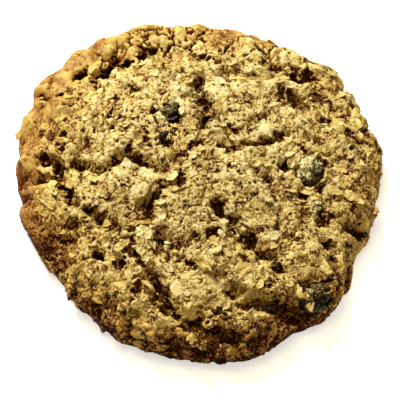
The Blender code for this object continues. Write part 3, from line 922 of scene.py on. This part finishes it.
def laid_flakes(dough, lift, thickness, share):
    """The oat flakes that stand out, each laid on the dough where it rests."""
    bpy.context.view_layer.update()
    shape = bmesh.new()
    for seed, (x, y, length, width, turn, tilt) in enumerate(FLAKES, STANDING_SEED):
        above = Vector((x, y, OVERHEAD)) * MM
        hit, spot, normal, _ = dough.ray_cast(above, Vector((0, 0, -1)))
        if not hit:
            continue
        upright = (normal + Vector((0, 0, FLAKE_LEVEL))).normalized()
        lean = Matrix.Rotation(math.radians(turn), 4, "Z") @ Matrix.Rotation(
            math.radians(tilt), 4, "X")
        place = Matrix.Translation(spot + lift * MM * upright)
        flake = oat_shape(seed, share * length, share * width, thickness, *STANDING_OUTLINE)
        level = Vector((0, 0, 1)).rotation_difference(upright).to_matrix().to_4x4()
        flake.transform(place @ level @ lean)
        mesh = bpy.data.meshes.new("flake")
        flake.to_mesh(mesh)
        shape.from_mesh(mesh)
        flake.free()
    return new_piece("laid_flakes", shape)


def dough_on_raisins(chips):
    """Chips of dough that lap onto each raisin's edge, more of them on its far left."""
    for number, name in enumerate(RAISINS):
        skin = new_piece(name + "_edge", welded_copy(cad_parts[name]))
        away = across_box(points_of(skin.data), name)
        beyond = np.linalg.norm(away[:, :2], axis=1) - RAISIN_DRESS[name]["lap_from"]
        far_left = np.clip(LAP_LEFT + (away[:, 1] - away[:, 0]) / 2, 0.0, 1.0)
        share = ease(beyond / LAP_SOFT) * (LAP_ALL + LAP_FAR_LEFT * far_left)
        share *= ease(away[:, 2], *LAP_HEIGHT)
        yield scattered(skin, name + "_lap", share, chips, "lap", turn=number)
        bpy.data.objects.remove(skin)


def kept_low(piece):
    """Press down what stands too far over the model's top."""
    places = points_of(piece.data)
    places[:, 2] = np.minimum(places[:, 2], MODEL_TOP + CRUMB_ROOM)
    set_points(piece.data, places)


def crack_depth(mesh):
    """How far each skin point sinks in the cracks, and how near it is to one, for painted shade."""
    places = points_of(mesh)
    drift = value_of(mesh, "drift") - 0.5
    jag = value_of(mesh, "jag") - 0.5
    sink, near = np.zeros((2, len(places)))
    for half_width, depth, course in CRACKS:
        away = distance_to_course(places[:, :2], course)
        away += CRACK_SHAKE[0] * drift + CRACK_SHAKE[1] * jag
        core = 1.0 - ease(away / (CRACK_CORE * half_width))
        shoulder = 1.0 - ease(away / (CRACK_SHOULDER * half_width))
        sink = np.maximum(sink, depth * (CORE_DEPTH * core + (1.0 - CORE_DEPTH) * shoulder))
        near = np.maximum(near, CORE_DARK * core + (1.0 - CORE_DARK) * shoulder)
    for x, y, radius, depth in BUBBLES:
        away = away_from(places, x, y) + BUBBLE_SHAKE[0] * drift + BUBBLE_SHAKE[1] * jag
        core = 1.0 - ease(away / (BUBBLE_CORE * radius))
        sink = np.maximum(sink, depth * core)
        near = np.maximum(near, core)
    up = ease(normals_of(mesh)[:, 2], *CRACK_FACING) * away_from_raisins(places)
    open_share = 1.0 - ease(value_of(mesh, "bridge"), *CRACK_BREAK)
    up *= at_least(BRIDGED, open_share)
    return CRACK_SHARE * sink * up, near * up


def knead(dough):
    """Push coated oats and lumps into the dough, and fuse all into one skin."""
    places = points_of(dough.data)
    share = ease(places[:, 2], *KNEAD_HEIGHT) * ease(normals_of(dough.data)[:, 2], *KNEAD_FACING)
    share = share * away_from_raisins(places)
    share *= at_least(CRUST_KNEAD, inside_crust(places))
    lumps, oats, chips = (
        stock(name, [lump_shape(seed, *size) for seed, size in enumerate(sizes, first)])
        for name, first, sizes in KNEADED)
    clods = scattered(dough, "clods", share, lumps, "clods")
    flat_oats = scattered(dough, "flat_oats", share, oats, "flat_oats")
    ground = joined("dough_ground", [dough, clods, *dough_on_raisins(chips)])
    bed = laid_flakes(ground, FLAKE_LIFT, COATED_FLAKE, 1.0)
    flat_oats = joined("all_flat_oats", [flat_oats, bed])
    coated = flat_oats.copy()
    coated.data = flat_oats.data.copy()
    return fused(joined("dough", [ground, coated]), FUSE_VOXEL), flat_oats


def swell(mesh):
    """Push the dough up and outwards where it rose more than around."""
    places = points_of(mesh)
    reach = reach_of(places)
    free = ease(places[:, 2], *SWELL_HEIGHT)
    for x, y, radius, up, out in SWELLS:
        share = (1.0 - ease(away_from(places, x, y) / radius)) * free
        places[:, 2] += up * share
        places[:, :2] *= (1.0 + out * share / np.maximum(reach, 1.0))[:, None]
    set_points(mesh, places)


def make_dough(material):
    """The cookie's skin: kneaded, fused, cracked, crumbled, thinned, toasted and given painted
    shade.
    """
    dough = rounded(new_piece("cookie_base", welded_copy(COOKIE)), 1)
    swell(dough.data)
    dough, flat_oats = knead(dough)
    cracks = pattern_tree("crack_patterns", CRACK_PATTERNS)
    apply_recipe(dough, cracks, {"Height Share": 0.0})
    places = points_of(dough.data)
    places[:, 2] -= crack_depth(dough.data)[0]
    set_points(dough.data, places)
    fused(dough, SKIN_VOXEL)
    apply_recipe(dough, cracks, {"Height Share": 0.0})
    near = crack_depth(dough.data)[1]
    relief = pattern_tree("relief_patterns", RELIEF_PATTERNS)
    apply_recipe(dough, relief, {"Height Share": 1.0})
    apply_recipe(dough, closeness_tree("oat_closeness"), {"Other": flat_oats,
                                                          "Reach": OAT_REACH * MM})
    bpy.data.objects.remove(flat_oats)
    crumble(dough.data, near)
    apply_recipe(dough, hollow_tree("hollows"), {})
    toast_and_painted_shade(dough.data)
    thinned(dough, SKIN_TRIANGLES)
    dough.data.shade_smooth()
    dough.data.materials.clear()
    dough.data.materials.append(material)
    return dough


def dome_of(mesh, name, rise):
    """Height over its mean of a rounded cell, from the distance to its middle."""
    away = np.minimum(value_of(mesh, name) / DOME_REACH, DOME_LIMIT)
    return rise * (DOME_MEAN - away ** 2)


def crumble(mesh, near):
    """Break the skin into lumps, knobs, grain and pits, and leave the patch pattern on it."""
    places = points_of(mesh)
    facing = normals_of(mesh)
    crumb = inside_crust(places)
    band = at_least(CRUST_LUMPS, crumb)
    oat = value_of(mesh, "oat")
    calm = 1.0 - OAT_CALM * oat
    wall = 1.0 - ease(facing[:, 2], *WALL_FACING)
    lobes = far_lobes(places)
    parting = value_of(mesh, "parting")
    gap = lobes * (1.0 - ease(value_of(mesh, "lobe_gap") / LOBE_GAP_WIDTH))
    gap *= ease(parting, *LOBE_OPEN)
    parted = ease(parting, *CREVICE_OPEN)
    parted *= 1.0 - ease(value_of(mesh, "crevice") / CREVICE_WIDTH)
    parted *= band * ease(facing[:, 2], *CREVICE_FACING) * away_from_raisins(places)
    pit = 1.0 - ease(value_of(mesh, "pit"), *PIT_EDGE)
    pit *= value_of(mesh, "pit_step") > PIT_SHARE
    height = STEP * (value_of(mesh, "lump_step") - 0.5) + LEAN * value_of(mesh, "lump_lean")
    height = (height + dome_of(mesh, "lump_dome", LUMP_DOME)) * band * calm
    height *= 1.0 + WALL_LUMPS * wall
    height = LUMP_LIMIT * np.tanh(height / LUMP_LIMIT)
    height *= 1.0 - LOBE_CALM * lobes
    knobs = np.maximum(1.0 - crumb, WALL_KNOBS * wall)
    height += dome_of(mesh, "knob_dome", KNOB_DOME) * knobs * (1.0 - lobes)
    height += dome_of(mesh, "lobe_dome", FAR_LOBE) * lobes
    height += FAR_SWELL * ease(places[:, 1], *FAR_SWELL_Y) * ease(reach_of(places), *FAR_SWELL_BAND)
    chips = CHIP * (value_of(mesh, "chip_step") - 0.5) + CHIP_LEAN * value_of(mesh, "chip_lean")
    chips = (chips + dome_of(mesh, "chip_dome", CHIP_DOME)) * calm
    height += chips * at_least(CRUST_CHIPS, band) * (1.0 - LOBE_CHIP_CALM * lobes)
    height += dome_of(mesh, "grain_dome", GRAIN_DOME) * at_least(CRUST_GRAINS, band)
    height -= DIP * ease(value_of(mesh, "dip"), *DIP_OPEN) * (calm + near) * band
    height -= PIT * pit * calm + CREVICE * parted + LOBE_GAP * gap
    height *= ease(places[:, 2], *FOOT_FLAT)
    places += facing * height[:, None]
    over = np.maximum(places[:, 2] - (MODEL_TOP - HEADROOM), 0.0)
    places[:, 2] -= over - HEADROOM_SOFT * np.tanh(over / HEADROOM_SOFT)
    places[:, 2] = np.maximum(places[:, 2], 0.0)
    set_points(mesh, places)
    set_value(mesh, "oat", oat)
    # Painted shade in the crevices and the gaps between the far lobes, as in the cracks.
    dark = np.maximum(CREVICE_DARK * parted, LOBE_GAP_DARK * gap)
    set_value(mesh, "near", np.maximum(near, dark))


def mix(weights, fields):
    """The fields, each times its weight, in all."""
    return sum(weight * fields[name] for name, weight in weights.items())


def toast_and_painted_shade(mesh):
    """Work out each point's tone, with painted shade and light, how brown it is, and how grainy it
    looks.
    """
    places = points_of(mesh)
    x, y, z = places.T
    reach = reach_of(places)
    rim = ease(reach, *RIM_BAND)
    crumb = inside_crust(places)
    # Towards the near side the foot darkens and the low side browns more: partly browning, partly
    # painted shade.
    near_side = at_least(FAR_FOOT, ease(y, *NEAR_Y))
    side = 1.0 - ease(normals_of(mesh)[:, 2], *SIDE_FACING)
    low = near_side * (1.0 - ease(z, *LOW_BAND))
    hollow = sum(weight * value_of(mesh, name) for name, (_, weight) in HOLLOWS.items()) / MM
    hollow *= at_least(CRUST_HOLLOW, crumb)
    fields = {
        "all": np.ones(len(places)), "hollow": hollow, "crack": value_of(mesh, "near"),
        "patch": value_of(mesh, "patch") - 0.5, "oat": value_of(mesh, "oat"), "rim": rim,
        # The rim's side fields are painted shade, darker on the left and near rim.
        "painted_shade_rim_x": rim * x / np.maximum(reach, 1.0), "painted_shade_rim_y": rim * y / np.maximum(reach, 1.0),
        "foot": near_side * (1.0 - ease(z, *FOOT_BAND)), "outer": ease(reach, *OUTER_BAND),
        "side": side * rim, "low": low, "far": ease(y, *FAR_Y) * ease(x, *FAR_X),
        "crumb": crumb, "right": towards_far_left(-places), "far_left": towards_far_left(places),
    }
    tone = mix(TONE, fields)
    # Patches of the dough's tone, partly browning and partly painted light and painted shade.
    for middle_x, middle_y, radius, paler in TONE_AND_PAINTED_LIGHT_PATCHES:
        away = away_from(places, middle_x, middle_y) / radius
        tone += paler * (1.0 - ease(away / PATCH_SPREAD))
    grain = mix(GRAIN, fields) * (1.0 - LOBE_GRAIN_CALM * far_lobes(places))
    grain *= np.clip(1.0 + GRAIN_BY_HOLLOW * hollow, *GRAIN_RANGE)
    set_value(mesh, "tone", np.clip(tone, 0.0, TONE_LIMIT))
    set_value(mesh, "brown", np.clip(mix(BROWN, fields), 0.0, 1.0))
    set_value(mesh, "grain", grain * (1.0 - FOOT_GRAIN * side * low))


def new_material(name, labels):
    """A Principled material: itself, its tree, its shader, its place and its attributes."""
    material = bpy.data.materials.new(name)
    material.use_nodes = True
    tree = material.node_tree
    place = add(tree, "ShaderNodeTexCoord").outputs["Object"]
    values = [add(tree, "ShaderNodeAttribute", attribute_name=label).outputs["Fac"]
              for label in labels]
    return material, tree, tree.nodes["Principled BSDF"], place, *values


def cover(tree, shader, bumps, strength, depth, looks):
    """Give a shader its looks, and bumps of a depth in millimetres."""
    bump = add(tree, "ShaderNodeBump", {"Height": bumps, "Strength": strength,
                                        "Distance": depth * MM})
    fill(tree, shader, {"Normal": bump.outputs[0], **looks})


def mottled(tree, place, level, amount, size, detail=2.0, roughness=0.6):
    """A level with specks of a size in millimetres added, and the specks themselves."""
    specks = add(tree, "ShaderNodeTexNoise", {"Vector": place, "Scale": 1 / (size * MM),
                                              "Detail": detail, "Roughness": roughness})
    centred = add(tree, "ShaderNodeMath", {0: specks.outputs[0], 1: 0.5}, operation="SUBTRACT")
    changed = add(tree, "ShaderNodeMath", {0: centred.outputs[0], 1: amount, 2: level},
                  operation="MULTIPLY_ADD")
    return changed.outputs[0], specks.outputs[0]


def painted_shade_marks(tree, place, level, amount, feature, size, width):
    """Painted shade: darken a level along the outlines of chips, or at the pinholes between them.

    The size is that of the chips in millimetres. The mark's half width is a share of it.
    """
    spot, wave = shaken(tree, place, size, size)
    cells = add(tree, "ShaderNodeTexVoronoi", {"Vector": spot, "Scale": 1 / (size * MM)},
                feature=feature)
    mark = add(tree, "ShaderNodeMapRange", {"Value": cells.outputs["Distance"], "From Min": 0.0,
                                            "From Max": width, "To Min": 1.0, "To Max": 0.0})
    here = add(tree, "ShaderNodeMapRange", {"Value": wave, "From Min": MARKED[0],
                                            "From Max": MARKED[1], "To Min": 0.0,
                                            "To Max": amount})
    return add(tree, "ShaderNodeMath", {0: mark.outputs[0], 1: here.outputs[0], 2: level},
               operation="MULTIPLY_ADD").outputs[0]


def baked_dough():
    """Baked oat dough: sugar-crusted crumb, golden on the tops, treacle-brown with painted shade in
    the cracks.
    """
    material, tree, shader, place, tone, brown, grain = new_material(
        "baked_oat_dough", ("tone", "brown", "grain"))
    level = tone
    # Specks vary the tone at random; the other marks are painted shade along chip outlines and in
    # pinholes.
    for change, amount, *mark in DOUGH_MARKS:
        local = add(tree, "ShaderNodeMath", {0: grain, 1: amount}, operation="MULTIPLY")
        if change == "SPECKS":
            level, _ = mottled(tree, place, level, local.outputs[0], *mark)
        else:
            level = painted_shade_marks(tree, place, level, local.outputs[0], change, *mark)
    level = add(tree, "ShaderNodeMath", {0: level, 1: 0.75}, operation="MULTIPLY").outputs[0]
    golden, treacle = (add(tree, "ShaderNodeValToRGB", {"Fac": level}, stops=stops)
                       for stops in (GOLDEN, TREACLE))
    colour = add(tree, "ShaderNodeMix", {0: brown, 6: golden.outputs["Color"],
                                         7: treacle.outputs["Color"]}, data_type="RGBA")
    sheen = add(tree, "ShaderNodeMapRange", {"Value": tone, "From Min": 0.15, "From Max": 0.6,
                                             "To Min": 0.05, "To Max": 0.5})
    grit = add(tree, "ShaderNodeTexNoise", {"Vector": place, "Scale": 1 / (0.45 * MM),
                                            "Detail": 2.0, "Roughness": 0.6})
    rough = add(tree, "ShaderNodeMath", {0: grain, 1: 0.7}, operation="MULTIPLY")
    cover(tree, shader, grit.outputs[0], rough.outputs[0], 0.4, {
        "Base Color": colour.outputs[2], "Roughness": 0.62, "IOR": 1.45,
        "Specular IOR Level": sheen.outputs[0]})
    return material


def rolled_oat():
    """Rolled oat baked in dough: a dry golden flake, paler where its bran shows."""
    material, tree, shader, place, tone = new_material("rolled_oat_flake", ("tone",))
    level, bran = mottled(tree, place, tone, 1.3, 0.5, 3.0, 0.7)
    colour = add(tree, "ShaderNodeValToRGB", {"Fac": level}, stops=OAT_COLOURS)
    cover(tree, shader, bran, 0.6, 0.2, {"Base Color": colour.outputs["Color"], "Roughness": 0.55})
    return material


def raisin_skin():
    """Dried raisin: a near-black creased skin, dulled to grey-green where sugar and crumb cling."""
    material, tree, shader, place, bloom = new_material("dried_raisin_skin", ("bloom",))
    local = add(tree, "ShaderNodeMath", {0: bloom, 1: 3.0, 2: 0.6}, operation="MULTIPLY_ADD")
    level, specks = mottled(tree, place, bloom, local.outputs[0], 0.32)
    colour = add(tree, "ShaderNodeValToRGB", {"Fac": level}, stops=RAISIN_COLOURS)
    shine = add(tree, "ShaderNodeMapRange", {"Value": level, "From Min": 0.15, "From Max": 0.5,
                                             "To Min": 0.2, "To Max": 0.8})
    cover(tree, shader, specks, 0.6, 0.2, {
        "Base Color": colour.outputs["Color"], "Roughness": shine.outputs[0],
        "Specular IOR Level": 0.35, "Specular Tint": linear("#D8C088")})
    return material


def wander(places, size, seed):
    """Smooth noise at each point, from about -1 to 1."""
    shift = Vector((seed, 2.3 * seed, 0.7 * seed))
    return np.array([noise.noise(Vector(p) + shift) for p in places / size])


def make_raisin(name, material):
    """A raisin's skin from its solid, folded into long creases, and where crumbs cling to it."""
    raisin = rounded(new_piece(name + "_skin", welded_copy(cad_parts[name])), 2)
    look = RAISIN_DRESS[name]
    low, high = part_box(name)
    places = points_of(raisin.data)
    facing = normals_of(raisin.data)
    middle = np.array(low + high) / 2 / MM
    along = np.array(FOLD_STRETCH if high.x - low.x > high.y - low.y else FOLD_STRETCH_Y)
    bend = np.stack([wander(places, FOLD_BEND, seed) for seed in (1.0, 4.0, 7.0)], axis=1)
    fold = np.abs(wander((places + bend) / along, FOLD_SIZE, 3.0))
    crease = np.abs(wander(places, CREASE_SIZE, 8.0))
    sink = FOLD_DEPTH * np.clip(1.0 - fold / FOLD_EDGE, 0.0, 1.0) ** 2
    sink += CREASE_DEPTH * np.clip(1.0 - crease / CREASE_EDGE, 0.0, 1.0)
    set_points(raisin.data, places + facing * (PLUMP - sink)[:, None])
    up = ease(places[:, 2] - middle[2], *RAISIN_UP)
    far_left = places[:, 1] - places[:, 0] - middle[1] + middle[0]
    far_left = np.clip(0.5 + far_left / RAISIN_ACROSS, 0.0, 1.0)
    sugar = look["bloom"] * up * (SUGAR_ALL + far_left)
    sugar *= at_least(SUGAR_IN_FOLD, ease(fold / SUGAR_RIDGE))
    patches = SUGAR_PATCH * wander(places, SUGAR_PATCH_SIZE, 5.0)
    set_value(raisin.data, "bloom", SUGAR_LEAST + sugar + patches)
    set_value(raisin.data, "tone", CLING_TONE * (1.0 + far_left))
    set_value(raisin.data, "brown", CLING_BROWN)
    set_value(raisin.data, "grain", 1.0)
    raisin.data.shade_smooth()
    finish_piece(raisin, material)
    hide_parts(name)
    cling = np.clip(CLING_FAR_LEFT * far_left - CLING_BARE, CLING_LEAST, 1.0)
    return raisin, look["dusting"] * up * cling


def seen_white(tree, shade):
    """White to the camera and a shade to all that it lights, and whether the camera sees it."""
    seen = add(tree, "ShaderNodeLightPath").outputs["Is Camera Ray"]
    glow = add(tree, "ShaderNodeMix", {0: seen, 6: linear(shade), 7: linear("#FFFFFF")},
               data_type="RGBA")
    return glow.outputs[2], seen


def make_floor():
    """A plain pale table top, which lights the cookie a little from around."""
    shape = bmesh.new()
    bmesh.ops.create_grid(shape, x_segments=1, y_segments=1, size=FLOOR_REACH)
    floor = new_piece("floor", shape)
    floor.location.z = -FLOOR_DROP * MM
    material, tree, shader, _ = new_material("pale_table", ())
    glow, _ = seen_white(tree, "#D8A868")
    fill(tree, shader, {"Base Color": linear("#E8F5F8"), "Roughness": 0.9,
                        "Emission Color": glow, "Emission Strength": 0.6})
    floor.data.materials.append(material)


def light_scene():
    """Soft light from above and behind, with a weak pale surround."""
    for name, (place, size, power, colour) in LIGHTS.items():
        light = bpy.data.lights.new(name, "AREA")
        light.size = size
        light.energy = power
        light.color = linear(colour)[:3]
        lamp = bpy.data.objects.new(name, light)
        lamp.location = place
        lamp.rotation_euler = (-Vector(place)).to_track_quat("-Z", "Y").to_euler()
        bpy.context.scene.collection.objects.link(lamp)
    world = bpy.data.worlds.new("surround")
    world.use_nodes = True
    tree = world.node_tree
    glow, seen = seen_white(tree, "#EDC67B")
    power = add(tree, "ShaderNodeMapRange", {"Value": seen, "To Min": 0.3, "To Max": 1.0})
    fill(tree, tree.nodes["Background"], {"Color": glow, "Strength": power.outputs[0]})
    bpy.context.scene.world = world
    bpy.context.scene.view_settings.view_transform = "Standard"
    bpy.context.scene.view_settings.gamma = 0.97


def add_camera():
    """Camera at the height and distance of someone looking down at the plate."""
    rise = math.radians(CAMERA_RISE)
    camera = bpy.data.cameras.new("camera")
    camera.sensor_width = SENSOR
    camera.lens = SENSOR * CAMERA_AWAY / (SEEN_WIDTH * MM)
    thing = bpy.data.objects.new("camera", camera)
    away = CAMERA_AWAY * Vector((0, -math.cos(rise), math.sin(rise)))
    thing.location = Vector([along * MM for along in CAMERA_AIM]) + away
    thing.rotation_euler = (math.pi / 2 - rise, 0, 0)
    bpy.context.scene.collection.objects.link(thing)
    bpy.context.scene.camera = thing


def make_loose(dough, material):
    """What lies loose on the dough: oats, broken oats, crumbs and sugar grit."""
    places = points_of(dough.data)
    facing = normals_of(dough.data)[:, 2]
    top = ease(facing, *LOOSE_GROUND) * away_from_raisins(places)
    top *= at_least(CRUST_LOOSE, inside_crust(places)) * (1.0 - LOBE_LOOSE_CALM * far_lobes(places))
    top *= 1.0 - FAR_LEFT_LOOSE * towards_far_left(places)
    for_oats = top * ease(MODEL_TOP - places[:, 2], *OAT_ROOM) * ease(facing, *OAT_GROUND)
    oats = [oat_shape(n, *size, *OAT_OUTLINE) for n, size in enumerate(LOOSE_OATS)]
    bits = [oat_shape(n, *size, *BIT_OUTLINE) for n, size in enumerate(OAT_BITS, 50)]
    crumbs, grit = ([crumb_shape(n, rounds) for n in range(4)] for rounds in (1, 0))
    return [scattered(dough, name, share, stock(name + "_shape", shapes), name, finish)
            for name, share, shapes, finish in (
                ("oat_flakes", for_oats, oats, rolled_oat()),
                ("broken_oats", for_oats, bits, material),
                ("crumbs", top, crumbs, material), ("sugar_grit", top, grit, material))]


def dress():
    """Every piece of the object."""
    material = baked_dough()
    dough = make_dough(material)
    loose = make_loose(dough, material)
    flakes = laid_flakes(dough, BARE_FLAKE_LIFT, BARE_FLAKE, BARE_FLAKE_SIZE)
    flakes.data.materials.append(material)
    for label, value in FLAKE_LOOK.items():
        set_value(flakes.data, label, value)
    flakes.data.shade_flat()
    for piece in (dough, *loose, flakes):
        kept_low(piece)
        finish_piece(piece)
    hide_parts("cookie")
    skin = raisin_skin()
    dust = stock("dust", [crumb_shape(n, 1) for n in range(8, 12)])
    dustings = []
    for number, name in enumerate(RAISINS):
        raisin, share = make_raisin(name, skin)
        dustings.append(scattered(raisin, name + "_dust", share, dust, "dust", material, number))
    clinging = joined("clinging_crumbs", dustings)
    clinging.data.shade_smooth()
    finish_piece(clinging, material)


make_floor()
light_scene()
add_camera()
dress()
